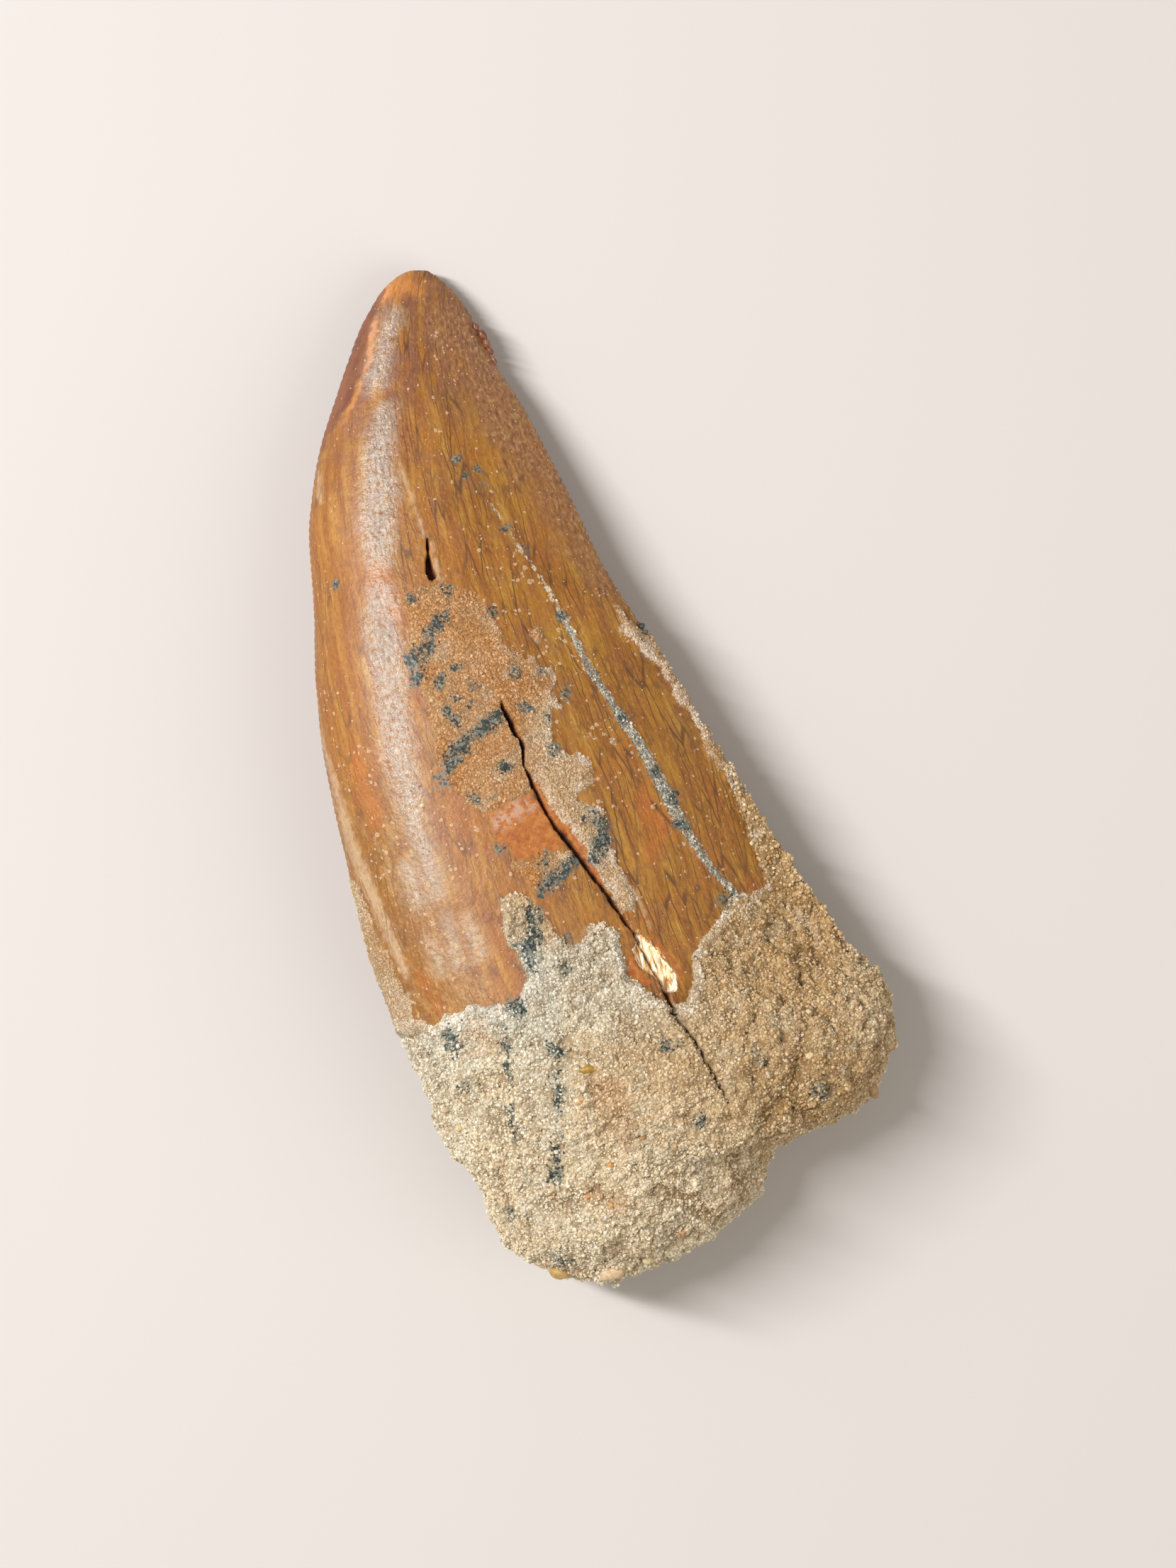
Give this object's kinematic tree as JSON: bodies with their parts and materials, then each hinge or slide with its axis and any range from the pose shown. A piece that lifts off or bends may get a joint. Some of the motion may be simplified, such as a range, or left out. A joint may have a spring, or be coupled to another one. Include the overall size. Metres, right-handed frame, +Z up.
{
  "type": "fossil dinosaur tooth in sandstone matrix",
  "caption": "Long, curved fossil tooth blade with finely serrated edges, its root end still set in a clump of loose sandstone; a display or study specimen.",
  "frame": {"origin": "centre of the bounding box, on the surface that the specimen lies on", "axes": "+Y from the root end to the tip, +X from the front cutting edge to the rear one, +Z up out of the outer face"},
  "size_m": [0.039, 0.079, 0.0172],
  "materials": {
    "fossil_enamel": "satin",
    "sandstone": "matte"
  },
  "bodies": {
    "root": {"tooth_crown": "fossil_enamel", "sandstone_matrix": "sandstone"}
  },
  "joints": []
}
